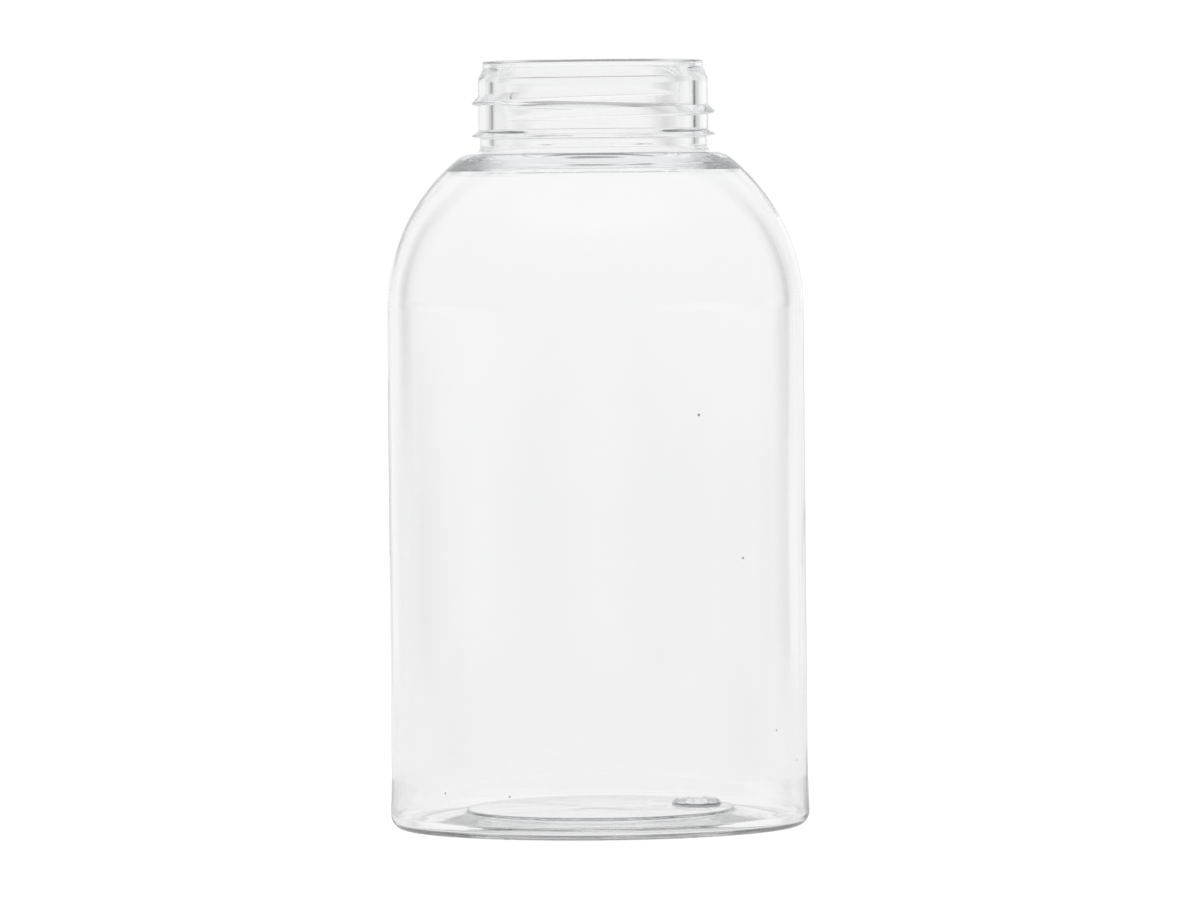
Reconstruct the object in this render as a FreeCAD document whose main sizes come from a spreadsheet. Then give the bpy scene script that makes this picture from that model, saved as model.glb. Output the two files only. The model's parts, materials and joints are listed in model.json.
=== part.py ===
import FreeCAD
import Part

import math
import os

import Sketcher
from FreeCAD import Vector

# A clear blown bottle with a wide threaded mouth, a domed shoulder and a straight body.
#
# It is one piece of plastic. The neck is as it was injection moulded, so it is thick and carries a screw thread
# and a bead. Everything below it was blown out against a mould, so the wall there is thin, and the gate that
# the plastic came in through is left as a button in the base.
#
# Frame: the origin is the centre of the circle that the bottle stands on and +Z is its axis, upwards. Seen
# from -Y, the thread begins on the near right. Lengths are in millimetres and angles in degrees.

# Driving dimensions: alias, value, what it measures
SIZES = [
    ("total_height", 164.7, "from the surface it stands on to the rim"),
    ("body_radius", 44.85, "outside of the straight body"),
    ("body_wall", 0.6, "blown wall of the body and the dome"),
    ("heel_flare", 0.2, "how far the band above the heel stands out from the body"),
    ("heel_fillet", 2.8, "outside rounding from the base to that band"),
    ("band_height", 1.2, "height of that band above the rounding"),
    ("flare_height", 7.0, "height over which the band runs out into the body"),
    ("land_width", 1.85, "width of the flat ring it stands on"),
    ("floor_wall", 1.0, "thickness of the base"),
    ("floor_bevel", 1.35, "inside bevel between the wall and the base"),
    ("cone_width", 11.75, "shallow cone of the base, across"),
    ("cone_rise", 2.0, "shallow cone of the base, upwards"),
    ("step_width", 0.45, "step around the raised middle of the base, across"),
    ("step_rise", 0.6, "step around the raised middle of the base, upwards"),
    ("dome_radius", 41.95, "arc of the domed shoulder, which meets the body without a corner"),
    ("dome_end_fillet", 4.0, "outside rounding where the dome meets the ledge"),
    ("ledge_width", 3.9, "sloping ledge around the foot of the neck, across"),
    ("ledge_drop", 0.9, "sloping ledge around the foot of the neck, downwards"),
    ("ledge_fillet", 1.2, "hollow between the ledge and the neck"),
    ("finish_height", 19.2, "from the rim down to the ledge"),
    ("throat_drop", 2.9, "from the ledge down to the lower edge of the bore"),
    ("throat_fillet", 1.8, "rounding of that edge"),
    ("thick_width", 9.2, "how far the unblown thickness reaches out from the neck"),
    ("thick_end_fillet", 8.0, "inside rounding where it ends"),
    ("bore_radius", 21.7, "inside of the neck"),
    ("bore_chamfer", 0.35, "chamfer between the bore and the rim"),
    ("rim_wall", 1.9, "wall of the plain ring under the rim"),
    ("rim_height", 1.9, "height of that ring"),
    ("rim_slope", 1.7, "height of the slope from that ring out to the neck"),
    ("rim_chamfer", 0.25, "chamfer outside the rim"),
    ("neck_wall", 3.02, "wall of the neck between the ridges"),
    ("foot_wall", 2.68, "wall of the neck under the bead"),
    ("ridge_depth", 1.43, "how far the thread and the bead stand out from the neck"),
    ("ridge_flat", 0.22, "flat on their crests"),
    ("bead_drop", 15.95, "from the rim down to the crest of the bead"),
    ("bead_above", 1.0, "bead, from the crest up to its root"),
    ("bead_below", 0.55, "bead, from the crest down to its root"),
    ("thread_drop", 7.37, "from the rim down to the crest where the thread begins"),
    ("thread_above", 1.62, "thread, from the crest up to its root"),
    ("thread_below", 0.55, "thread, from the crest down to its root"),
    ("thread_pitch", 4.233, "six turns to the inch"),
    ("thread_start", -40.0, "direction in which the thread begins, from +X"),
    ("thread_turn", 462.0, "how far it winds down around the neck"),
    ("thread_fade", 32.0, "how much of that each of its ends takes to fade out"),
    ("thread_seat", 0.5, "how deep it is rooted in the neck"),
    ("gate_across", 20.9, "place of the gate button along X"),
    ("gate_back", 6.0, "place of the gate button along Y"),
    ("gate_radius", 5.5, "outline of the gate button"),
    ("gate_rise", 2.1, "height of the gate button on the floor inside"),
    ("gate_round", 1.3, "rounding of its top edge"),
    ("stub_radius", 1.9, "outline of the broken gate under the base"),
    ("stub_drop", 0.6, "how far that stands down from the base"),
]

NEAR = 1e-4  # two lengths closer than this are the same
PAST = 1.0  # how far a cutting outline goes past the surface that it opens
SECTION_STEP = 11.0  # about how far the thread winds between two of its cross-sections
FADED = 0.15  # how far below the neck's surface the crest of a faded-out thread lies


class Size:
    """A length that knows the formula it came from, so that what is built with it stays tied to the sheet."""

    def __init__(self, value, formula):
        self.value = value
        self.formula = formula

    def __add__(self, other):
        return Size(self.value + other.value, f"({self.formula} + {other.formula})")

    def __sub__(self, other):
        return Size(self.value - other.value, f"({self.formula} - {other.formula})")

    def half(self):
        return Size(self.value / 2, f"({self.formula} / 2)")

    def side(self, leg):
        """The other short side of a right triangle whose long side is this length."""
        value = math.sqrt(self.value ** 2 - leg.value ** 2)
        return Size(value, f"sqrt({self.formula} ^ 2 - {leg.formula} ^ 2)")


ZERO = Size(0.0, "0")


class Outline:
    """A closed half section of a turned shape, drawn corner by corner in a sketch on the XZ plane."""

    def __init__(self, body, name, across, up):
        plane = next(item for item in body.Origin.OriginFeatures if item.Role == "XZ_Plane")
        self.sketch = body.newObject("Sketcher::SketchObject", name)
        self.sketch.AttachmentSupport = [(plane, "")]
        self.sketch.MapMode = "FlatFace"
        self.first = (across, up)
        self.here = (across, up)

    def measure(self, kind, side, point, size):
        """Ties one coordinate of a point of a side to the sheet."""
        if size is ZERO:
            axis = {"DistanceX": -2, "DistanceY": -1}[kind]
            self.sketch.addConstraint(Sketcher.Constraint("PointOnObject", side, point, axis))
            return
        number = self.sketch.addConstraint(Sketcher.Constraint(kind, -1, 1, side, point, size.value))
        self.sketch.setExpression(f"Constraints[{number}]", size.formula)

    def join(self, side):
        """Joins a new side to the end of the one before it."""
        if side > 0:
            self.sketch.addConstraint(Sketcher.Constraint("Coincident", side - 1, 2, side, 1))

    def line_to(self, across, up):
        """A straight side from the last corner to this one, and its number."""
        start = Vector(self.here[0].value, self.here[1].value, 0)
        end = Vector(across.value, up.value, 0)
        side = self.sketch.addGeometry(Part.LineSegment(start, end), False)
        self.join(side)
        self.measure("DistanceX", side, 2, across)
        self.measure("DistanceY", side, 2, up)
        self.here = (across, up)
        return side

    def arc_to(self, across, up, centre_across, centre_up):
        """A round side, anticlockwise around a centre. Its end keeps to the arc, so only its X is tied."""
        centre = Vector(centre_across.value, centre_up.value, 0)
        start = Vector(self.here[0].value, self.here[1].value, 0) - centre
        end = Vector(across.value, up.value, 0) - centre
        circle = Part.Circle(centre, Vector(0, 0, 1), start.Length)
        arc = Part.ArcOfCircle(circle, math.atan2(start.y, start.x), math.atan2(end.y, end.x))
        side = self.sketch.addGeometry(arc, False)
        self.join(side)
        self.measure("DistanceX", side, 3, centre_across)
        self.measure("DistanceY", side, 3, centre_up)
        self.measure("DistanceX", side, 2, across)
        self.here = (across, up)
        return side

    def close(self):
        """The last side, back along the axis to the first corner."""
        last = self.line_to(*self.first)
        self.sketch.addConstraint(Sketcher.Constraint("Coincident", last, 2, 0, 1))

    def round_end(self, side, radius):
        """Rounds the corner at the end of a side of the closed outline. The corner's dimensions stay."""
        middles = []
        for curve in (self.sketch.Geometry[side], self.sketch.Geometry[side + 1]):
            middles.append(curve.value((curve.FirstParameter + curve.LastParameter) / 2))
        arc = self.sketch.GeometryCount
        self.sketch.fillet(side, side + 1, middles[0], middles[1], radius.value, True, True)
        number = self.sketch.addConstraint(Sketcher.Constraint("Radius", arc, radius.value))
        self.sketch.setExpression(f"Constraints[{number}]", radius.formula)


def make_sheet(doc):
    """The spreadsheet of driving dimensions, and each of them as a length tied to its cell."""
    sheet = doc.addObject("Spreadsheet::Sheet", "Dims")
    for row, (alias, value, meaning) in enumerate(SIZES, start=1):
        sheet.set(f"A{row}", meaning)
        sheet.set(f"B{row}", str(value))
        sheet.setAlias(f"B{row}", alias)
    doc.recompute()
    return {alias: Size(float(sheet.get(alias)), f"Dims.{alias}") for alias, value, meaning in SIZES}


def heights_and_radii(size):
    """The places along and around the axis that more than one feature needs."""
    at = {}
    at["rim"] = size["total_height"]
    at["heel"] = size["body_radius"] + size["heel_flare"]
    at["inside"] = size["body_radius"] - size["body_wall"]
    at["band_top"] = size["heel_fillet"] + size["band_height"]
    at["land"] = at["heel"] - size["heel_fillet"] - size["land_width"]
    at["step_foot"] = at["land"] - size["cone_width"]
    at["step_edge"] = at["step_foot"] - size["step_width"]
    at["middle"] = size["cone_rise"] + size["step_rise"]
    at["floor"] = at["middle"] + size["floor_wall"]

    at["bore"] = size["bore_radius"]
    at["neck"] = at["bore"] + size["neck_wall"]
    at["foot"] = at["bore"] + size["foot_wall"]
    at["ring"] = at["bore"] + size["rim_wall"]
    at["crest"] = at["neck"] + size["ridge_depth"]
    at["ledge"] = at["rim"] - size["finish_height"]
    at["throat"] = at["ledge"] - size["throat_drop"]
    at["bead"] = at["rim"] - size["bead_drop"]

    at["dome_end"] = at["foot"] + size["ledge_width"]
    at["dome_end_up"] = at["ledge"] - size["ledge_drop"]
    at["dome_centre"] = size["body_radius"] - size["dome_radius"]
    reach = at["dome_end"] - at["dome_centre"]
    at["shoulder"] = at["dome_end_up"] - size["dome_radius"].side(reach)
    at["thick_end"] = at["foot"] + size["thick_width"]
    inner_arc = size["dome_radius"] - size["body_wall"]
    at["thick_end_up"] = at["shoulder"] + inner_arc.side(at["thick_end"] - at["dome_centre"])
    return at


def draw_outside(body, size, at):
    """The outside, from the middle of the base out, up the wall, over the dome and up the neck to the rim."""
    half_flat = size["ridge_flat"].half()
    ring_foot = at["rim"] - size["rim_height"]
    outline = Outline(body, "OutsideOutline", ZERO, at["middle"])
    outline.line_to(at["step_edge"], at["middle"])
    outline.line_to(at["step_foot"], size["cone_rise"])
    outline.line_to(at["land"], ZERO)
    base = outline.line_to(at["heel"], ZERO)
    outline.line_to(at["heel"], at["band_top"])
    outline.line_to(size["body_radius"], at["band_top"] + size["flare_height"])
    outline.line_to(size["body_radius"], at["shoulder"])
    dome = outline.arc_to(at["dome_end"], at["dome_end_up"], at["dome_centre"], at["shoulder"])
    ledge = outline.line_to(at["foot"], at["ledge"])
    outline.line_to(at["foot"], at["bead"] - size["bead_below"])
    outline.line_to(at["crest"], at["bead"] - half_flat)
    outline.line_to(at["crest"], at["bead"] + half_flat)
    outline.line_to(at["neck"], at["bead"] + size["bead_above"])
    outline.line_to(at["neck"], ring_foot - size["rim_slope"])
    outline.line_to(at["ring"], ring_foot)
    outline.line_to(at["ring"], at["rim"])
    outline.line_to(ZERO, at["rim"])
    outline.close()
    outline.round_end(base, size["heel_fillet"])
    outline.round_end(dome, size["dome_end_fillet"])
    outline.round_end(ledge, size["ledge_fillet"])
    return outline.sketch


def draw_inside(body, size, at):
    """The hollow, from the middle of the floor out, up the wall, in under the thick shoulder and up the bore."""
    over = at["rim"] + Size(PAST, str(PAST))
    outline = Outline(body, "InsideOutline", ZERO, at["floor"])
    outline.line_to(at["step_edge"], at["floor"])
    outline.line_to(at["step_foot"], size["cone_rise"] + size["floor_wall"])
    outline.line_to(at["land"], size["floor_wall"])
    outline.line_to(at["inside"] - size["floor_bevel"], size["floor_wall"])
    outline.line_to(at["inside"], size["floor_wall"] + size["floor_bevel"])
    outline.line_to(at["inside"], at["shoulder"])
    dome = outline.arc_to(at["thick_end"], at["thick_end_up"], at["dome_centre"], at["shoulder"])
    throat = outline.line_to(at["bore"], at["throat"])
    outline.line_to(at["bore"], over)
    outline.line_to(ZERO, over)
    outline.close()
    outline.round_end(dome, size["thick_end_fillet"])
    outline.round_end(throat, size["throat_fillet"])
    return outline.sketch


def turn(body, kind, name, sketch):
    """Turns a half section all the way around the axis, adding or cutting."""
    feature = body.newObject(kind, name)
    feature.Profile = sketch
    feature.ReferenceAxis = (sketch, ["V_Axis"])
    feature.Angle = 360.0
    body.Document.recompute()
    return feature


def dress(body, kind, name, length, radius, height):
    """Rounds or chamfers the body's round edge of this radius and height."""
    base = body.Tip
    found = []
    for number, edge in enumerate(base.Shape.Edges, start=1):
        if not isinstance(edge.Curve, Part.Circle):
            continue
        if abs(edge.Curve.Radius - radius.value) < NEAR and abs(edge.Curve.Center.z - height.value) < NEAR:
            found.append(f"Edge{number}")
    if len(found) != 1:
        raise RuntimeError(f"{name}: {len(found)} edges match instead of one")
    feature = body.newObject(f"PartDesign::{kind}", name)
    feature.Base = (base, found)
    feature.setExpression({"Fillet": "Radius", "Chamfer": "Size"}[kind], length.formula)
    body.Document.recompute()


def pad_disc(body, name, size, radius, low, high):
    """A round pad over the gate's place, from one height to another."""
    plane = next(item for item in body.Origin.OriginFeatures if item.Role == "XY_Plane")
    sketch = body.newObject("Sketcher::SketchObject", name + "Outline")
    sketch.AttachmentSupport = [(plane, "")]
    sketch.MapMode = "FlatFace"
    sketch.setExpression("AttachmentOffset.Base.z", low.formula)
    centre = Vector(size["gate_across"].value, size["gate_back"].value, 0)
    sketch.addGeometry(Part.Circle(centre, Vector(0, 0, 1), radius.value), False)
    wanted = (("DistanceX", size["gate_across"]), ("DistanceY", size["gate_back"]))
    for kind, place in wanted:
        number = sketch.addConstraint(Sketcher.Constraint(kind, -1, 1, 0, 3, place.value))
        sketch.setExpression(f"Constraints[{number}]", place.formula)
    number = sketch.addConstraint(Sketcher.Constraint("Radius", 0, radius.value))
    sketch.setExpression(f"Constraints[{number}]", radius.formula)
    pad = body.newObject("PartDesign::Pad", name)
    pad.Profile = sketch
    pad.setExpression("Length", (high - low).formula)
    body.Document.recompute()


def make_blank(doc, size, at):
    """The bottle without its thread."""
    body = doc.addObject("PartDesign::Body", "Blank")
    turn(body, "PartDesign::Revolution", "Outside", draw_outside(body, size, at))
    turn(body, "PartDesign::Groove", "Inside", draw_inside(body, size, at))

    dress(body, "Chamfer", "RimChamfer", size["rim_chamfer"], at["ring"], at["rim"])
    dress(body, "Chamfer", "BoreChamfer", size["bore_chamfer"], at["bore"], at["rim"])

    gate_top = at["floor"] + size["gate_rise"]
    pad_disc(body, "GateButton", size, size["gate_radius"], at["middle"], gate_top)
    dress(body, "Fillet", "GateRound", size["gate_round"], size["gate_radius"], gate_top)
    pad_disc(body, "GateStub", size, size["stub_radius"], at["middle"] - size["stub_drop"], at["middle"])
    return body


def thread_section(size, at, wound):
    """The thread's cross-section once it has wound this far, as a closed wire in a plane through the axis.

    The thread fades out at both ends as its crest sinks below the neck's surface. Its flanks keep their slopes,
    so it gets narrower as it gets lower.
    """
    neck = at["neck"].value
    seat = neck - size["thread_seat"].value
    depth = size["ridge_depth"].value
    half_flat = size["ridge_flat"].value / 2
    slope_above = (size["thread_above"].value - half_flat) / depth
    slope_below = (size["thread_below"].value - half_flat) / depth

    from_end = min(wound, size["thread_turn"].value - wound)
    grown = min(from_end / size["thread_fade"].value, 1.0)
    crest = neck - FADED + (depth + FADED) * math.sin(grown * math.pi / 2)
    height = at["rim"].value - size["thread_drop"].value - size["thread_pitch"].value * wound / 360
    top = height + half_flat + (crest - seat) * slope_above
    bottom = height - half_flat - (crest - seat) * slope_below

    angle = math.radians(size["thread_start"].value - wound)
    corners = []
    for radius, up in ((seat, bottom), (crest, height - half_flat), (crest, height + half_flat), (seat, top)):
        corners.append(Vector(radius * math.cos(angle), radius * math.sin(angle), up))
    return Part.makePolygon(corners + corners[:1])


def make_thread(doc, size, at):
    """One right-handed ridge with a gentle slope above its crest and an almost flat underside."""
    turned = size["thread_turn"].value
    steps = math.ceil(turned / SECTION_STEP)
    sections = [thread_section(size, at, turned * step / steps) for step in range(steps + 1)]
    thread = doc.addObject("Part::Feature", "Thread")
    thread.Shape = Part.makeLoft(sections, True, False)
    return thread


def make_bottle(doc, size, at):
    """The finished bottle: the blank and its thread as one solid."""
    bottle = doc.addObject("Part::MultiFuse", "Bottle")
    bottle.Shapes = [make_blank(doc, size, at), make_thread(doc, size, at)]
    bottle.Label = "bottle"
    doc.recompute()
    return bottle


def check(doc, bottle):
    """Stops if a feature failed or the bottle isn't one sound solid."""
    for item in doc.Objects:
        if "Invalid" in item.State or "Error" in item.State:
            raise RuntimeError(f"{item.Label} failed: {item.State}")
    shape = bottle.Shape
    if shape.isNull() or not shape.isValid() or len(shape.Solids) != 1:
        raise RuntimeError("the bottle isn't one valid solid")


def main():
    doc = FreeCAD.newDocument("BlownBottle")
    size = make_sheet(doc)
    bottle = make_bottle(doc, size, heights_and_radii(size))
    check(doc, bottle)
    os.makedirs("parts", exist_ok=True)
    bottle.Shape.exportStep(f"parts/{bottle.Label}.step")
    box = bottle.Shape.BoundBox
    print(f"{bottle.Label}: {box.XLength:.2f} x {box.YLength:.2f} x {box.ZLength:.2f} mm")
    print(f"plastic: {bottle.Shape.Volume / 1000:.2f} cubic centimetres")


main()
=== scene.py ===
# %% [markdown]
# This lesson makes a clear, wide-mouthed plastic bottle as it stands in a photo studio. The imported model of
# the bottle comes in first as the frame. Its box says how large the bottle is, and its record says how wide
# the bore is, so what is made here has the same size. Everything is in metres, and the bottle stands on the
# origin.

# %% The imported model
import json
import math

import bpy
from mathutils import Matrix, Vector


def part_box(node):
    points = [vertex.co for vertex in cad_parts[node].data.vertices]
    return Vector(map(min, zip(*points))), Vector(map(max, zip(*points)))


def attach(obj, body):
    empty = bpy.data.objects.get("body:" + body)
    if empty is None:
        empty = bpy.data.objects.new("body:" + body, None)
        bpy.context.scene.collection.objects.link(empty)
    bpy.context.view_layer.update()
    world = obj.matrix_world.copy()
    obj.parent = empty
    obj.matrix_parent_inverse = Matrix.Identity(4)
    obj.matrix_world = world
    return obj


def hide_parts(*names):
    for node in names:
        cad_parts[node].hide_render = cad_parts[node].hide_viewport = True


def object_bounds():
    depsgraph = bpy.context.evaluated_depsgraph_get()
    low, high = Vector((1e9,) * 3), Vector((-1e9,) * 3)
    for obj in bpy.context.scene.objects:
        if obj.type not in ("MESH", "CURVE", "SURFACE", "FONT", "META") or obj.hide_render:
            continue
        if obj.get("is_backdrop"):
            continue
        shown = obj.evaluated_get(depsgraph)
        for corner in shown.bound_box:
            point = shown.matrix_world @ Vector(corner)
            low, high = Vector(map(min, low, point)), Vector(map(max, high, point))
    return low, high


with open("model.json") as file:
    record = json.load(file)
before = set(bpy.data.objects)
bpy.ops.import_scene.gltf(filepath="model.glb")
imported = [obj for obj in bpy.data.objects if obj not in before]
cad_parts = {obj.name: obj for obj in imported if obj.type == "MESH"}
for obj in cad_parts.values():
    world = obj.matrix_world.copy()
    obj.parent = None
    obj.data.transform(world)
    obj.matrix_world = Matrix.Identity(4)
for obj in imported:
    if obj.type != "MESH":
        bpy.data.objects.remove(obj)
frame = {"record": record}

MM = 0.001
cad_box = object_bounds()
lowest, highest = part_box("bottle")
mouth = next(mount for mount in frame["record"]["mounts"] if mount["name"] == "mouth")
print(f"the bottle is {highest.z / MM:.1f} mm high and {(highest.x - lowest.x) / MM:.1f} mm across")

# %% [markdown]
# The camera comes before the bottle, so that each step can be held against the photograph. The bottle looks
# almost flat there, so the camera stood far off with a long lens: 8400 pixels of focal length, where one
# millimetre at the bottle's axis is 4.65 pixels. It stood a little above the middle of the dome and looked
# slightly down. The bottle leans by 0.59 degrees in the picture, but a bottle on a table is upright, so it
# is the camera that is turned.

# %% The camera
PICTURE_WIDTH = 1199
FOCAL_PIXELS = 8400
PIXELS_PER_MM = 4.65
CAMERA_HEIGHT = 130.5 * MM
AIM_ACROSS = 0.62 * MM
LOOKS_DOWN = math.radians(1.568)
TURNED = math.radians(0.59)
SENSOR = 36.0

lens = bpy.data.cameras.new("long_lens")
lens.sensor_width = SENSOR
lens.lens = SENSOR * FOCAL_PIXELS / PICTURE_WIDTH
lens.clip_start = 0.05
lens.clip_end = 100.0
camera = bpy.data.objects.new("camera", lens)
bpy.context.scene.collection.objects.link(camera)
bpy.context.scene.camera = camera

forward = Vector((0, math.cos(LOOKS_DOWN), -math.sin(LOOKS_DOWN)))
level_up = Vector((0, math.sin(LOOKS_DOWN), math.cos(LOOKS_DOWN)))
level_right = Vector((1, 0, 0))
right = level_right * math.cos(TURNED) - level_up * math.sin(TURNED)
up = level_right * math.sin(TURNED) + level_up * math.cos(TURNED)
camera.matrix_world = Matrix((
    (right.x, up.x, -forward.x, AIM_ACROSS),
    (right.y, up.y, -forward.y, -FOCAL_PIXELS / PIXELS_PER_MM * MM),
    (right.z, up.z, -forward.z, CAMERA_HEIGHT),
    (0, 0, 0, 1),
))
print(f"the camera stands {FOCAL_PIXELS / PIXELS_PER_MM * MM:.2f} m away with a {lens.lens:.0f} mm lens")

# %% [markdown]
# Every tree of nodes in this lesson, for shapes and for finishes, is written with two small helpers. A
# Graph adds a node from its type, its settings and what goes into its sockets. A Wire is one output of a
# node, and sums on wires add Math nodes, so a formula in the tree reads like a formula. Two more helpers
# mix colours and make a value rise from nothing to one over a stretch.

# %% Nodes written as formulas
class Wire:
    """One output socket, with the arithmetic that adds Math nodes to its tree."""

    def __init__(self, graph, socket):
        self.graph = graph
        self.socket = socket

    def math(self, operation, *others):
        values = dict(enumerate((self, *others)))
        return self.graph.node("ShaderNodeMath", {"operation": operation}, values)

    def __add__(self, other):
        return self.math("ADD", other)

    __radd__ = __add__

    def __mul__(self, other):
        return self.math("MULTIPLY", other)

    __rmul__ = __mul__

    def __sub__(self, other):
        return self.math("SUBTRACT", other)

    def __rsub__(self, other):
        return self.graph.node("ShaderNodeMath", {"operation": "SUBTRACT"}, {0: other, 1: self})

    def __truediv__(self, other):
        return self.math("DIVIDE", other)

    def of(self, name):
        """Another output of the same node."""
        return Wire(self.graph, self.socket.node.outputs[name])


class Graph:
    """Adds nodes to one tree."""

    def __init__(self, tree):
        self.tree = tree

    def node(self, kind, settings=None, values=None, output=0):
        """A node's type, its settings, which are made first, and the values or wires of its sockets."""
        node = self.tree.nodes.new(kind)
        for name, value in (settings or {}).items():
            if name == "stops":
                self.set_stops(node.color_ramp, value)
            else:
                setattr(node, name, value)
        for name, value in (values or {}).items():
            for part in value if isinstance(value, list) else [value]:
                if isinstance(part, Wire):
                    self.tree.links.new(part.socket, node.inputs[name])
                else:
                    node.inputs[name].default_value = part
        return Wire(self, node.outputs[output]) if node.outputs else node

    def set_stops(self, ramp, stops):
        """The stops of a ramp as pairs of a place and a grey level."""
        while len(ramp.elements) < len(stops):
            ramp.elements.new(0.5)
        for element, (place, level) in zip(ramp.elements, stops):
            element.position = place
            element.color = (level, level, level, 1)


def blend(graph, factor, first, second):
    """A mix of two colours or levels."""
    values = {"Factor": factor, "A": first, "B": second}
    return graph.node("ShaderNodeMix", {"data_type": "RGBA"}, values, output="Result")


def rise(wire, start, span):
    """Rises from 0 at a start to 1 at a span beyond it, and stays between them."""
    return ((wire - start) / span).math("MAXIMUM", 0.0).math("MINIMUM", 1.0)


print("sums on wires become Math nodes")

# %% [markdown]
# The bottle is a turned shape, so one half section says nearly all of it. It could be drawn with a Bezier
# curve, but its sizes are known, so it is worked out here corner by corner, in millimetres: from the middle
# of the floor inside, up the wall, under the thick shoulder, up the bore, over the rim, down the outside
# with its bead, ledge, dome and heel, and in along the underside. Each corner carries the rounding that the
# mould gives it.

# %% Sizes of the half section
RIM = highest.z / MM
BORE = mouth["dims"]["r_mm"]
HEEL = highest.x / MM
BODY = HEEL - 0.2
WALL = 0.6
INSIDE = BODY - WALL
NECK = BORE + 3.02
FOOT = BORE + 2.68
RING = BORE + 1.9
CREST = NECK + 1.43
LEDGE = RIM - 19.2
BEAD = RIM - 15.95
DOME_RADIUS = 41.95
DOME_CENTRE = BODY - DOME_RADIUS
DOME_END = (FOOT + 3.9, LEDGE - 0.9)
SHOULDER = DOME_END[1] - math.sqrt(DOME_RADIUS ** 2 - (DOME_END[0] - DOME_CENTRE) ** 2)
LAND = 40.4
STEP = 28.65
print(f"the dome begins at {SHOULDER:.1f} mm and the inside of the body has a radius of {INSIDE:.2f} mm")

# %% [markdown]
# Two helpers draw it. One walks along a round side in small steps. The other replaces a sharp corner by its
# rounding. The straight sides get extra points near both ends, because smooth shading blends the directions
# of neighbouring faces, and without those points the bend of a small rounding would spread over a whole
# flat wall, which shows at once on a clear, glossy thing.

# %% Round sides, rounded corners and straight sides
ARC_STEP = math.radians(1.25)
CORNER_STEP = math.radians(14.0)
SIDE_STEP = 7.0
GUARD = 0.25


def walk_arc(centre, radius, start, end, step):
    """Points on a circle from one angle to another, both ends with them."""
    count = max(2, math.ceil(abs(end - start) / step))
    angles = [start + (end - start) * i / count for i in range(count + 1)]
    return [(centre[0] + radius * math.cos(a), centre[1] + radius * math.sin(a)) for a in angles]


def round_corner(before, corner, after, radius):
    """The points that replace a corner between two straight sides."""
    here = Vector(corner)
    back = (Vector(before) - here).normalized()
    ahead = (Vector(after) - here).normalized()
    half = back.angle(ahead) / 2
    centre = here + (back + ahead).normalized() * (radius / math.sin(half))
    first = here + back * (radius / math.tan(half)) - centre
    last = here + ahead * (radius / math.tan(half)) - centre
    start = math.atan2(first.y, first.x)
    turn = math.atan2(first.x * last.y - first.y * last.x, first.dot(last))
    return walk_arc(centre, radius, start, start + turn, CORNER_STEP)


def fill_sides(points):
    """Adds points along every side that is long against its guard points."""
    filled = []
    for start, end in zip(points, points[1:]):
        filled.append(start)
        length = math.dist(start, end)
        if length > 3 * GUARD:
            count = max(1, math.ceil((length - 2 * GUARD) / SIDE_STEP))
            places = [GUARD + (length - 2 * GUARD) * i / count for i in range(count + 1)]
            for place in places:
                part = place / length
                filled.append((start[0] + (end[0] - start[0]) * part, start[1] + (end[1] - start[1]) * part))
    return filled + [points[-1]]


def draw(corners):
    """The whole outline from corners of across, up and rounding."""
    points = [corners[0][:2]]
    for before, corner, after in zip(corners, corners[1:], corners[2:]):
        if corner[2] > 0:
            points += round_corner(before[:2], corner[:2], after[:2], corner[2])
        else:
            points.append(corner[:2])
    return fill_sides(points + [corners[-1][:2]])


print("corners become arcs with a point every", round(math.degrees(CORNER_STEP)), "degrees")

# %% [markdown]
# Where the dome runs into the ledge, the rounding touches an arc on one side and a straight line on the
# other. Its centre is as far from the line as its radius, and nearer to the dome's centre than the dome by
# its radius, which gives one point.

# %% The dome outside
def arc_into_line(radius, line_start, line_end, rounding):
    """The dome from the body up, the rounding after it, and where that meets the straight line."""
    centre = Vector((DOME_CENTRE, SHOULDER))
    along = (Vector(line_end) - Vector(line_start)).normalized()
    left = Vector((-along.y, along.x))
    base = Vector(line_start) + left * rounding - centre
    reach = radius - rounding
    back = base.dot(along)
    middle = centre + base + along * (-back - math.sqrt(back ** 2 - base.length_squared + reach ** 2))
    if (middle - centre).angle(Vector((1, 0))) > math.pi / 2 or (middle - centre).y < 0:
        middle = centre + base + along * (-back + math.sqrt(back ** 2 - base.length_squared + reach ** 2))
    leave = math.atan2(middle.y - centre.y, middle.x - centre.x)
    arrive = math.atan2(-left.y, -left.x) % (2 * math.pi)
    dome = walk_arc(centre, radius, 0, leave, ARC_STEP)
    return dome[:-1] + walk_arc(middle, rounding, leave, arrive, CORNER_STEP / 3)


ledge_foot = (FOOT, LEDGE)
outer_dome = arc_into_line(DOME_RADIUS, DOME_END, ledge_foot, 5.29)
print(f"{len(outer_dome)} points on the dome outside")

# %% [markdown]
# Blowing stretches the plastic more the farther it goes, so the wall is thin in the body, a little thicker
# up the dome, and from a bend on it thickens quickly into the root of the neck. Only a clear bottle shows
# this: where the inside runs at an angle to the outside, the wall works as a prism.

# %% The dome inside
THICKENS_FROM = 28.1
BEND = 46.87
BEND_WALL = 0.82


def wall_at(angle):
    """The wall's thickness at an angle above the shoulder, in degrees."""
    share = max(0.0, angle - THICKENS_FROM) / (BEND - THICKENS_FROM)
    return WALL + (BEND_WALL - WALL) * share ** 0.96


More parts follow.
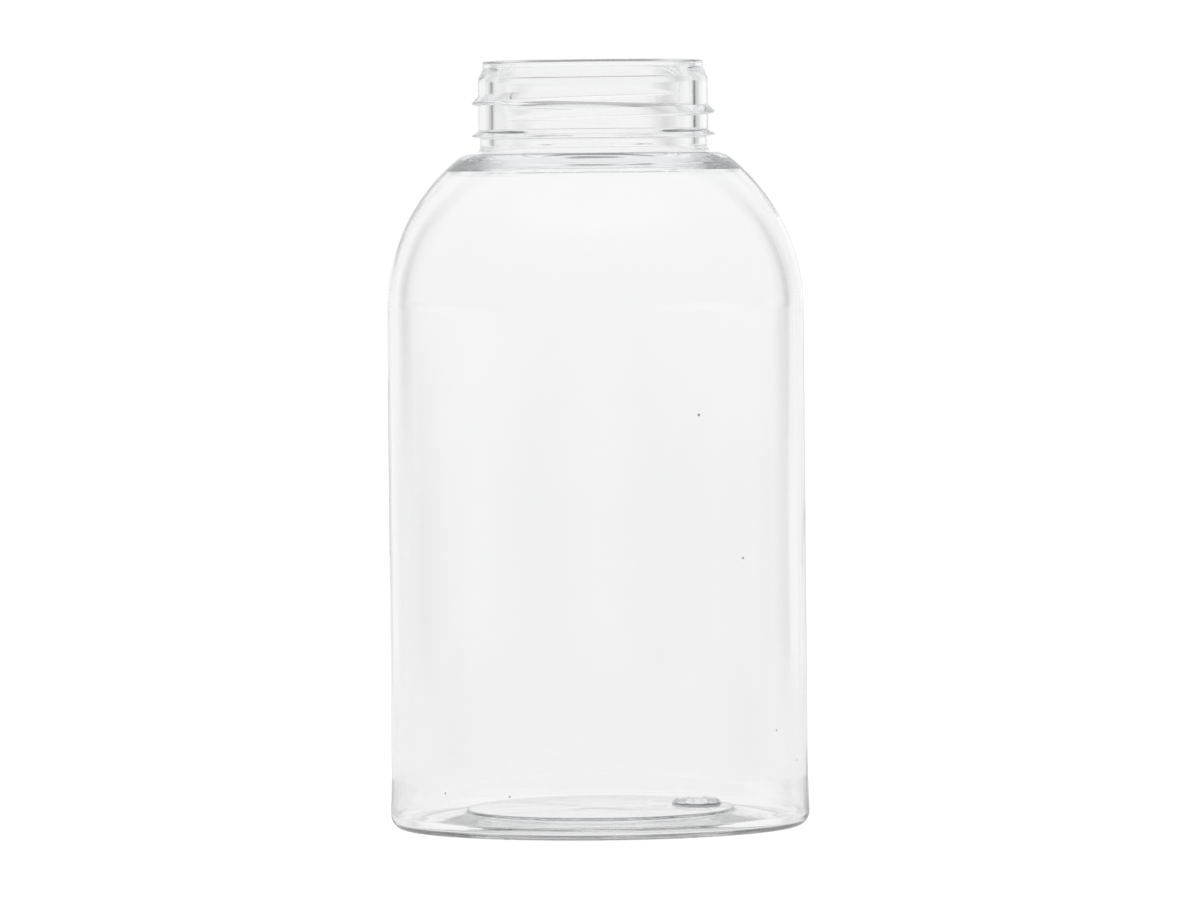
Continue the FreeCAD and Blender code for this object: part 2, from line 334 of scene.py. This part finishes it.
inner_dome = []
for i in range(math.floor(BEND) + 1):
    degrees = BEND * i / math.floor(BEND)
    radius = DOME_RADIUS - wall_at(degrees)
    across = DOME_CENTRE + radius * math.cos(math.radians(degrees))
    inner_dome.append((across, SHOULDER + radius * math.sin(math.radians(degrees))))
throat = (BORE, LEDGE - 1.41)
print(f"the inside bends towards the neck at a radius of {inner_dome[-1][0]:.1f} mm")

# %% The half section
def plain(points):
    return [(across, up, 0) for across, up in points]


inside = [
    (0, 3.53, 0), (STEP + 0.1, 3.53, 0.36), (STEP + 0.35, 2.93, 0.3), (LAND, 1.05, 1.2), (INSIDE, 1.05, 1.25),
    *plain(inner_dome[:-1]), (*inner_dome[-1], 3.44), (*throat, 3.5), (BORE, RIM - 0.58, 0.17),
    (BORE + 0.58, RIM, 0.09),
]
outside = [
    (RING - 0.04, RIM, 0.14), (RING + 0.1, RIM - 0.14, 0.14), (RING + 0.1, RIM - 1.5, 0.1),
    (NECK, RIM - 3.9, 2.4),
    (NECK, BEAD + 1.0, 0.2), (CREST, BEAD + 0.11, 0.1), (CREST, BEAD - 0.11, 0.1), (FOOT, BEAD - 0.55, 0.15),
    (*ledge_foot, 1.19), *plain(reversed(outer_dome)), (BODY, 11.0, 20.0), (HEEL, 4.0, 8.0), (HEEL, 0, 3.0),
    (LAND, 0, 0.6), (STEP, 1.75, 0.3), (STEP - 0.32, 2.38, 0.3), (0, 2.38, 0),
]
half_section = draw(inside + outside)
print(f"the half section has {len(half_section)} points")

# %% [markdown]
# The gate is where the plastic came into the mould. Its round button stands on the floor inside like a
# thick lens, and the broken end of the gate is left under the base. Both are turned about one axis of their
# own, so they share one half section, which runs from the top down and is drawn about that axis.

# %% The half section of the gate
GATE_PLACE = Vector((20.9, 6.0, 0)) * MM
gate_section = draw([
    (0, 5.3, 0), (1.8, 5.22, 6.0), (4.2, 4.8, 2.2), (5.5, 3.9, 1.0), (5.4, 2.9, 0.3), (1.9, 2.8, 0.3),
    (1.8, 2.2, 0.3), (1.1, 2.02, 0.2), (0, 2.0, 0),
])
print(f"the gate stands {gate_section[0][1] - 3.6:.1f} mm above the floor")

# %% [markdown]
# The thread is one ridge that winds up around the neck. Its section has a gentle slope above the crest and
# an almost flat underside, which is what a cap pulls against. The drawing plane of a swept section has its
# own second axis pointing down here, so heights are written with their sign turned.

# %% The section of the thread
SEAT = NECK - 0.5
ridge = CREST - SEAT
slope_above = (1.62 - 0.11) / 1.43
slope_below = (0.55 - 0.11) / 1.43
corner = 0.09
thread_section = [
    (0, 0.11 + ridge * slope_above), (ridge - corner, 0.11 + corner * slope_above), (ridge - 0.02, 0.06),
    (ridge, 0), (ridge - 0.02, -0.06), (ridge - corner, -0.11 - corner * slope_below),
    (0, -0.11 - ridge * slope_below),
]
print(f"the ridge stands {CREST - NECK:.2f} mm out from the neck")


# %% [markdown]
# Geometry Nodes turn and wind these sections. They take them as objects, so each one becomes a mesh of
# nothing but points and edges. Sweeping a section along a small circle is the same as turning it on a
# lathe, if the section is moved in by that circle's radius first.

# %% Sections as meshes of edges
PIVOT = 10.0


def edge_object(name, points, shift, closed=False):
    """An object whose mesh is one line of edges, with heights turned for the sweep."""
    rows = [((across - shift) * MM, -height * MM, 0) for across, height in points]
    edges = [(i, i + 1) for i in range(len(rows) - 1)]
    if closed:
        edges.append((len(rows) - 1, 0))
    mesh = bpy.data.meshes.new(name)
    mesh.from_pydata(rows, edges, [])
    made = bpy.data.objects.new(name, mesh)
    bpy.context.scene.collection.objects.link(made)
    return made


bottle_line = edge_object("bottle_line", half_section, PIVOT)
gate_line = edge_object("gate_line", gate_section, PIVOT)
thread_line = edge_object("thread_line", thread_section, 0, closed=True)
print("three sections are ready for the sweep")

# %% [markdown]
# One tree makes the whole bottle. It turns the half section, turns the gate, winds the thread along a helix
# whose ridge grows out of the neck at both ends, and joins the three into one skin with a Boolean. A
# modelling artist could do it with the Screw modifier, but here every size stays an input that can be
# changed. Edges sharper than the set angle stay crisp, and the rest is shaded smooth.

# %% The tree that turns, winds and joins
tree = bpy.data.node_groups.new("blown_bottle", "GeometryNodeTree")
INPUTS = {
    "Bottle Section": "NodeSocketObject", "Gate Section": "NodeSocketObject",
    "Thread Section": "NodeSocketObject",
    "Columns": "NodeSocketInt", "Gate Columns": "NodeSocketInt", "Gate Place": "NodeSocketVector",
    "Thread Points": "NodeSocketInt", "Seat Radius": "NodeSocketFloat", "Thread Low": "NodeSocketFloat",
    "Thread Rise": "NodeSocketFloat", "Thread Low Angle": "NodeSocketFloat", "Thread Turn": "NodeSocketFloat",
    "Fade": "NodeSocketFloat", "Faded Size": "NodeSocketFloat", "Material": "NodeSocketMaterial",
}
tree.interface.new_socket("Geometry", in_out="INPUT", socket_type="NodeSocketGeometry")
for name, kind in INPUTS.items():
    tree.interface.new_socket(name, in_out="INPUT", socket_type=kind)
tree.interface.new_socket("Geometry", in_out="OUTPUT", socket_type="NodeSocketGeometry")
shape = Graph(tree)
given = shape.node("NodeGroupInput")


def lathe(section, columns):
    """Turns a section about Z: a sweep along a small level circle, with the points on the axis merged."""
    line = shape.node("GeometryNodeObjectInfo", None, {"Object": given.of(section)}).of("Geometry")
    profile = shape.node("GeometryNodeMeshToCurve", None, {"Mesh": line})
    circle_values = {"Resolution": given.of(columns), "Radius": PIVOT * MM}
    circle = shape.node("GeometryNodeCurvePrimitiveCircle", {"mode": "RADIUS"}, circle_values)
    level = shape.node("GeometryNodeSetCurveNormal", {"mode": "Z_UP"}, {"Curve": circle})
    turned = shape.node("GeometryNodeCurveToMesh", None, {"Curve": level, "Profile Curve": profile})
    return shape.node("GeometryNodeMergeByDistance", None, {"Geometry": turned, "Distance": 0.001 * MM})


blank = lathe("Bottle Section", "Columns")
gate = shape.node("GeometryNodeTransform", None, {
    "Geometry": lathe("Gate Section", "Gate Columns"), "Translation": given.of("Gate Place"),
})
print("the tree turns the bottle and its gate")

# %% The thread's helix, in the same tree
path = shape.node("GeometryNodeResampleCurve", {"mode": "COUNT"}, {
    "Curve": shape.node("GeometryNodeCurvePrimitiveLine"), "Count": given.of("Thread Points"),
})
wound = shape.node("GeometryNodeSplineParameter")
angle = given.of("Thread Low Angle") + wound * given.of("Thread Turn")
place = shape.node("ShaderNodeCombineXYZ", None, {
    "X": angle.math("COSINE") * given.of("Seat Radius"), "Y": angle.math("SINE") * given.of("Seat Radius"),
    "Z": given.of("Thread Low") + wound * given.of("Thread Rise"),
})
helix = shape.node("GeometryNodeSetPosition", None, {"Geometry": path, "Position": place})
upright = shape.node("GeometryNodeSetCurveNormal", {"mode": "Z_UP"}, {"Curve": helix})
from_end = wound.math("MINIMUM", 1 - wound) * given.of("Thread Turn") / given.of("Fade")
grown = (from_end.math("MINIMUM", 1.0) * (math.pi / 2)).math("SINE")
faded = given.of("Faded Size")
thread = shape.node("GeometryNodeCurveToMesh", None, {
    "Curve": upright, "Fill Caps": True, "Scale": faded + grown * (1 - faded),
    "Profile Curve": shape.node("GeometryNodeMeshToCurve", None, {
        "Mesh": shape.node("GeometryNodeObjectInfo", None, {"Object": given.of("Thread Section")}).of("Geometry"),
    }),
})
print("the tree winds the thread")

# %% Joined, shaded and given its plastic
CRISP = math.radians(32)
joined = shape.node("GeometryNodeMeshBoolean", {"operation": "UNION", "solver": "MANIFOLD"}, {
    "Mesh 2": [blank, gate, thread],
})
smooth = shape.node("GeometryNodeSetShadeSmooth", {"domain": "FACE"}, {"Geometry": joined, "Shade Smooth": True})
bend = shape.node("GeometryNodeInputMeshEdgeAngle")
crisp = shape.node("GeometryNodeSetShadeSmooth", {"domain": "EDGE"}, {
    "Geometry": smooth, "Selection": bend.math("GREATER_THAN", CRISP), "Shade Smooth": False,
})
real = shape.node("GeometryNodeRealizeInstances", None, {"Geometry": crisp})
dressed = shape.node("GeometryNodeSetMaterial", None, {"Geometry": real, "Material": given.of("Material")})
shape.node("NodeGroupOutput", None, {"Geometry": dressed})
print(f"the tree has {len(tree.nodes)} nodes")

# %% [markdown]
# The plastic is clear and colourless, with a thin look of grey where there is much of it: at the outline,
# where the line of sight runs along the wall, and in the thick root of the neck. A base colour just under
# white takes a little light at every wall, and plain absorption takes more the longer the way through the
# plastic is. Blown plastic is never quite even, so its gloss and tint run in faint upright streaks, and its
# surface has slow waves. A thin grey ring on the ledge is painted shade. It stands for the dark line that bent
# light shows at the root of the neck. Six small dark spots are specks. Light that is mirrored on and on
# inside the wall would come out black, so past the last counted mirror the plastic gives off a faint
# painted glow in its place.

# %% The clear plastic
REFRACTION = 1.575
MOST_MIRRORS = 26
PAINTED_GLOW_LEVEL = 0.10
# Painted shade: a thin grey ring on the ledge draws the dark line that bent light shows at the neck's root.
PAINTED_SHADE_LINE = 27.8
PAINTED_SHADE_LINE_HALF = 0.8
PAINTED_SHADE_COLOUR = (0.10, 0.10, 0.12, 1)
PAINTED_SHADE_STRENGTH = 0.9
SPECK_COLOUR = (0.16, 0.16, 0.16, 1)
SPECKS = [
    ((21.6, -39.3, 89.3), 0.32), ((30.7, -32.7, 58.8), 0.28), ((37.6, -24.4, 21.8), 0.25),
    ((42.1, -15.5, 14.8), 0.27), ((-19.0, -40.6, 9.3), 0.24), ((-32.8, -30.7, 9.5), 0.24),
]
plastic = bpy.data.materials.new("clear_blown_plastic")
plastic.use_nodes = True
plastic.node_tree.nodes.clear()
paint = Graph(plastic.node_tree)
where = paint.node("ShaderNodeTexCoord").of("Object")
stretched = paint.node("ShaderNodeMapping", None, {"Vector": where, "Scale": (150.0, 150.0, 9.0)})
streaks = paint.node("ShaderNodeTexNoise", None, {"Vector": stretched, "Scale": 1.0, "Detail": 3.0})
waves = paint.node("ShaderNodeMapping", None, {"Vector": where, "Scale": (60.0, 60.0, 25.0)})
slow = paint.node("ShaderNodeTexNoise", None, {"Vector": waves, "Scale": 1.0, "Detail": 1.5})
haze = paint.node("ShaderNodeTexNoise", None, {"Vector": where, "Scale": 900.0, "Detail": 2.0})
even = blend(paint, streaks, (0.988, 0.989, 0.990, 1), (0.997, 0.997, 0.997, 1))
axes = paint.node("ShaderNodeSeparateXYZ", None, {"Vector": where})
across = (axes.of("X") * axes.of("X") + axes.of("Y") * axes.of("Y")).math("SQRT")
# Where the ring of painted shade lies: its radius on the ledge, and only above the ledge's height.
off_painted_shade = (across - PAINTED_SHADE_LINE * MM).math("ABSOLUTE") / (PAINTED_SHADE_LINE_HALF * MM)
on_painted_shade = (1 - off_painted_shade).math("MAXIMUM", 0.0) * axes.of("Z").math("GREATER_THAN", 0.9 * LEDGE * MM)
tint_with_painted_shade = blend(paint, on_painted_shade * PAINTED_SHADE_STRENGTH, even, PAINTED_SHADE_COLOUR)
specked = 0.0
for place, radius in SPECKS:
    middle = Vector(place) * MM
    gone = paint.node("ShaderNodeVectorMath", {"operation": "DISTANCE"}, {0: where, 1: middle}, output="Value")
    specked = gone.math("LESS_THAN", radius * MM) + specked
tint = blend(paint, specked.math("MINIMUM", 1.0), tint_with_painted_shade, SPECK_COLOUR)
gloss = streaks * 0.012 + haze * 0.008
ripple = paint.node("ShaderNodeBump", None, {
    "Height": slow * 0.8 + streaks * 0.2, "Distance": 0.00022, "Strength": 0.5,
})
# A faint painted glow: past the last counted mirror the plastic lights up in place of light lost inside the wall.
painted_glow_mask = paint.node("ShaderNodeLightPath").of("Glossy Depth").math("GREATER_THAN", MOST_MIRRORS - 0.5)
surface = paint.node("ShaderNodeBsdfPrincipled", None, {
    "Base Color": tint, "Roughness": gloss, "IOR": REFRACTION, "Transmission Weight": 1.0, "Normal": ripple,
    "Emission Color": painted_glow_mask * PAINTED_GLOW_LEVEL, "Emission Strength": 1.0,
})
depth = paint.node("ShaderNodeVolumeAbsorption", None, {"Color": (0.957, 0.960, 0.964, 1), "Density": 100.0})
paint.node("ShaderNodeOutputMaterial", None, {"Surface": surface, "Volume": depth})
print(f"{plastic.name} bends light by {REFRACTION}")

# %% [markdown]
# Now the tree runs. A modifier's inputs are set by each socket's identifier, because two sockets may share
# a name. The result is copied into a plain mesh and the modifier goes, so that what is kept is only points
# and faces.

# %% Making the bottle
THREAD_TURN = 462.0
THREAD_START = -40.0
PITCH = 4.233
FADE = 32.0
thread_rise = PITCH * THREAD_TURN / 360
VALUES = {
    "Bottle Section": bottle_line, "Gate Section": gate_line, "Thread Section": thread_line, "Columns": 240,
    "Gate Columns": 72, "Gate Place": GATE_PLACE, "Thread Points": 400, "Seat Radius": SEAT * MM,
    "Thread Low": (RIM - 7.37 - thread_rise) * MM, "Thread Rise": thread_rise * MM,
    "Thread Low Angle": math.radians(THREAD_START - THREAD_TURN), "Thread Turn": math.radians(THREAD_TURN),
    "Fade": math.radians(FADE), "Faded Size": 0.35 / 1.93, "Material": plastic,
}
seed = bpy.data.objects.new("seed", bpy.data.meshes.new("seed"))
bpy.context.scene.collection.objects.link(seed)
maker = seed.modifiers.new("blown_bottle", "NODES")
maker.node_group = tree
for item in tree.interface.items_tree:
    if item.in_out == "INPUT" and item.name in VALUES:
        maker[item.identifier] = VALUES[item.name]
view = bpy.context.evaluated_depsgraph_get()
mesh = bpy.data.meshes.new_from_object(seed.evaluated_get(view))
mesh.name = "blown_bottle"
bottle = bpy.data.objects.new("blown_bottle", mesh)
bpy.context.scene.collection.objects.link(bottle)
for helper in (seed, bottle_line, gate_line, thread_line):
    bpy.data.objects.remove(helper)
triangles = sum(len(face.vertices) - 2 for face in mesh.polygons)
print(f"{bottle.name}: {len(mesh.vertices)} points and {triangles} triangles, {len(mesh.materials)} material")

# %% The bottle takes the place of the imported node
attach(bottle, "root")
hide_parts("bottle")

# %% [markdown]
# Clear plastic has no look of its own: it shows what stands around it. This studio is white nearly
# everywhere, with a narrow dark gap on each side of the white wall. The neck bends light that far, so the
# gaps draw its two soft dark lines. All of that is drawn here as brightness by direction: a level for each
# direction around the horizon, which gives way to a white ceiling higher up. The camera itself and anything
# dull sees plain white in place of it, as the background of the photograph is.

# %% Brightness around the horizon
WALL_AND_GAPS = [
    (-180, 0.61), (-125, 0.70), (-90, 0.75), (-68, 0.85), (-60, 0.78), (-54, 0.58), (-50, 0.22), (-47, 0.14),
    (-43, 0.48), (-37, 0.97), (-24, 0.95), (-17, 0.86), (-12, 1.0), (-7, 0.86), (-4, 1.0), (4, 1.0),
    (7, 0.72),
    (12, 1.0), (33, 1.0), (39, 0.72), (43, 0.55), (45.5, 0.04), (49, 0.04), (51.5, 0.50), (57, 0.66),
    (61, 0.85), (100, 0.80),
    (140, 0.68), (180, 0.61),
]


def level_around(graph, direction, levels):
    """The studio's brightness on the horizon, by degrees to the right of the white wall."""
    parts = graph.node("ShaderNodeSeparateXYZ", None, {"Vector": direction})
    turn = parts.of("X").math("ARCTAN2", parts.of("Y")) / (2 * math.pi) + 0.5
    stops = [(0.5 + degrees / 360, level) for degrees, level in levels]
    return graph.node("ShaderNodeValToRGB", {"stops": stops}, {"Fac": turn})


print(f"the room on the camera's side has a level of {WALL_AND_GAPS[0][1]}")

# %% [markdown]
# Light that is mirrored again and again inside a thick root or rim comes out somewhere else, and often on
# the camera's side, where the studio is dark behind its lamps. So a ray that has been mirrored twice or
# more, up to a limit, sees brightness only behind the bottle. That is what draws the dark flanks of the
# shoulder.
#
# The body stands lower than the lens, so its gloss mirrors what lies on and around the table and not the
# walls. The lower half of the room is drawn by direction too: for light that is mirrored by the wall, for
# the same light when it falls more steeply, and for light that only passes through, which shows plain white
# but for two faint edges.

# %% Brightness below the horizon
TABLE_AND_GAPS = [
    (-180, 0.44), (-165, 0.38), (-150, 0.46), (-138, 0.62), (-114, 0.74), (-105, 0.70), (-96, 0.50),
    (-86, 0.37),
    (-75, 0.42), (-66, 0.48), (-62, 0.74), (-57, 0.76), (-51, 0.64), (-42, 0.74), (-30, 0.97), (-23, 1.0),
    (-17, 0.74), (-10, 1.0), (6, 1.0), (11, 0.68), (18, 0.92), (43, 0.92), (46, 0.88), (49, 0.55), (55, 0.45),
    (66, 0.54), (84, 0.74), (91, 0.60), (102, 0.40), (122, 0.20), (142, 0.20), (168, 0.50),
]
TABLE_THROUGH = [
    (-180, 1.0), (-23, 1.0), (-17, 0.74), (-10, 1.0), (6, 1.0), (11, 0.68), (18, 0.92), (30, 1.0), (180, 1.0),
]
TABLE_NEAR = [
    (-180, 0.40), (-90, 0.42), (-58, 0.70), (-25, 0.90), (25, 0.90), (58, 0.70), (90, 0.42), (180, 0.40),
]
print(f"{len(TABLE_AND_GAPS)} levels lie around the table")

# %% The studio around the bottle
studio = bpy.data.worlds.new("studio")
bpy.context.scene.world = studio
studio.use_nodes = True
studio.node_tree.nodes.clear()
sky = Graph(studio.node_tree)
toward = sky.node("ShaderNodeTexCoord").of("Generated")
compass = sky.node("ShaderNodeSeparateXYZ", None, {"Vector": toward})
down = compass.of("Z") * -1.0
look = sky.node("ShaderNodeLightPath")
mirrors = look.of("Glossy Depth")


def lies(levels):
    return level_around(sky, toward, levels)


WHITE = (1.0, 1.0, 1.0, 1)
CEILING_SHARE = [(0.0, 0.0), (0.5, 0.0), (0.55, 0.02), (0.70, 0.33), (0.85, 0.79), (0.935, 1.0)]
PLAIN_SIDES = [(-180, 1.0), (-75, 1.0), (-60, 0.0), (60, 0.0), (75, 1.0), (180, 1.0)]
BEHIND = [(0.0, 0.30), (0.067, 0.35), (0.482, 0.35), (0.552, 1.0)]
TRAPPED_FROM = 1.5
TRAPPED_TO = 16.5
share = sky.node("ShaderNodeValToRGB", {"stops": CEILING_SHARE}, {"Fac": compass.of("Z") * 0.5 + 0.5})
plain_sides = mirrors.math("LESS_THAN", 0.5) * lies(PLAIN_SIDES)
room = blend(sky, share, blend(sky, plain_sides, lies(WALL_AND_GAPS), WHITE), WHITE)
behind = sky.node("ShaderNodeValToRGB", {"stops": BEHIND}, {"Fac": compass.of("Y") * 0.5 + 0.5})
trapped = mirrors.math("GREATER_THAN", TRAPPED_FROM) * mirrors.math("LESS_THAN", TRAPPED_TO)
upper_half = blend(sky, trapped, room, behind)
print("above the horizon lie the walls and a white ceiling")

# %% The lower half of the studio
AFTER_MANY = (0.75, 0.75, 0.75, 1)
MANY = 3.5
EDGE_DEPTH = 0.034
EDGE_SPAN = 0.036
EDGE_MOST = 0.6
STEEP_FROM = 0.050
STEEP_SPAN = 0.0076
edge = ((EDGE_DEPTH - down) / EDGE_SPAN).math("MAXIMUM", 0.0).math("MINIMUM", EDGE_MOST)
flat_light = blend(sky, edge, lies(TABLE_AND_GAPS), lies(WALL_AND_GAPS))
one_mirror = blend(sky, rise(down, STEEP_FROM, STEEP_SPAN), flat_light, lies(TABLE_NEAR))
many_mirrors = blend(sky, mirrors.math("GREATER_THAN", MANY), one_mirror, AFTER_MANY)
lower_half = blend(sky, mirrors.math("GREATER_THAN", 0.5), lies(TABLE_THROUGH), many_mirrors)
found = blend(sky, down.math("GREATER_THAN", 0.0), upper_half, lower_half)
through_gloss = look.of("Is Glossy Ray").math("MAXIMUM", look.of("Is Transmission Ray"))
shown = blend(sky, through_gloss, WHITE, found)
air = sky.node("ShaderNodeBackground", None, {"Color": shown, "Strength": 1.0})
sky.node("ShaderNodeOutputWorld", None, {"Surface": air})
bpy.context.scene.view_settings.view_transform = "Standard"
paths = bpy.context.scene.cycles
paths.max_bounces = 64
paths.glossy_bounces = MOST_MIRRORS
paths.transmission_bounces = 64
print("the studio is brightest behind the bottle")

# %% [markdown]
# The bottle stands on a plain white table. Seen by the camera the table is white by itself, which is how a
# lit table in a photo studio looks, and a small share of it takes light like any pale surface, which keeps
# a trace of shadow right at the bottle's foot. Light from the bottle sees the table close to the foot, where
# light that has been mirrored finds it grey, a painted shadow under the bottle, and farther out it goes on to
# the levels that the world has in that direction.

# %% The white table
TABLE_HALF = 14.0
TABLE_DROP = -0.00008
LIT = 1.22
OWN_LIGHT = 0.78
# A grey level painted on the table close to the bottle's foot, as a painted shadow under it.
PAINTED_SHADOW_UNDER_FOOT = (0.6, 0.6, 0.6, 1)
NEAR_END = 0.06
NEAR_SPAN = 0.06
FAR_FROM = 0.12
FAR_SPAN = 0.13
table = bpy.data.meshes.new("table")
signs = [(-1, -1), (1, -1), (1, 1), (-1, 1)]
table_corners = [(TABLE_HALF * x, TABLE_HALF * y, TABLE_DROP) for x, y in signs]
table.from_pydata(table_corners, [], [(0, 1, 2, 3)])
floor = bpy.data.objects.new("table", table)
bpy.context.scene.collection.objects.link(floor)
white = bpy.data.materials.new("white_table")
white.use_nodes = True
white.node_tree.nodes.clear()
laid = Graph(white.node_tree)
rays = laid.node("ShaderNodeLightPath")
in_plastic = rays.of("Is Glossy Ray").math("MAXIMUM", rays.of("Is Transmission Ray"))
mirrored = rays.of("Glossy Depth").math("GREATER_THAN", 0.5)
spot = laid.node("ShaderNodeNewGeometry").of("Position")
away = laid.node("ShaderNodeVectorMath", {"operation": "LENGTH"}, {0: spot}, output="Value")
past_foot = rise(away, NEAR_END, NEAR_SPAN)
farther = rise(away, FAR_FROM, FAR_SPAN)
open_share = in_plastic * (mirrored * past_foot + (1 - mirrored) * farther)
# Painted shadow: mirrored light finds the table grey close to the bottle's foot.
foot_with_painted_shadow = blend(laid, mirrored, WHITE, PAINTED_SHADOW_UNDER_FOOT)
colour = blend(laid, in_plastic, (LIT, LIT, LIT, 1), foot_with_painted_shadow)
pale = laid.node("ShaderNodeBsdfDiffuse", None, {"Color": (0.82, 0.82, 0.82, 1)})
lit = laid.node("ShaderNodeEmission", None, {"Color": colour, "Strength": 1.0})
own_light = (rays * OWN_LIGHT).math("MAXIMUM", in_plastic)
table_top = laid.node("ShaderNodeMixShader", None, {0: own_light, 1: pale, 2: lit})
clear = laid.node("ShaderNodeBsdfTransparent")
both = laid.node("ShaderNodeMixShader", None, {0: open_share, 1: table_top, 2: clear})
laid.node("ShaderNodeOutputMaterial", None, {"Surface": both})
table.materials.append(white)
floor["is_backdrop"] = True
print(f"the table reaches {TABLE_HALF:.0f} m each way")

# %% Sizes for the record, and the end
picture_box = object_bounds()
for name, (low, high) in (("packed model", cad_box), ("this bottle", picture_box)):
    print(name, [round(value / MM, 2) for value in (*low, *high)])
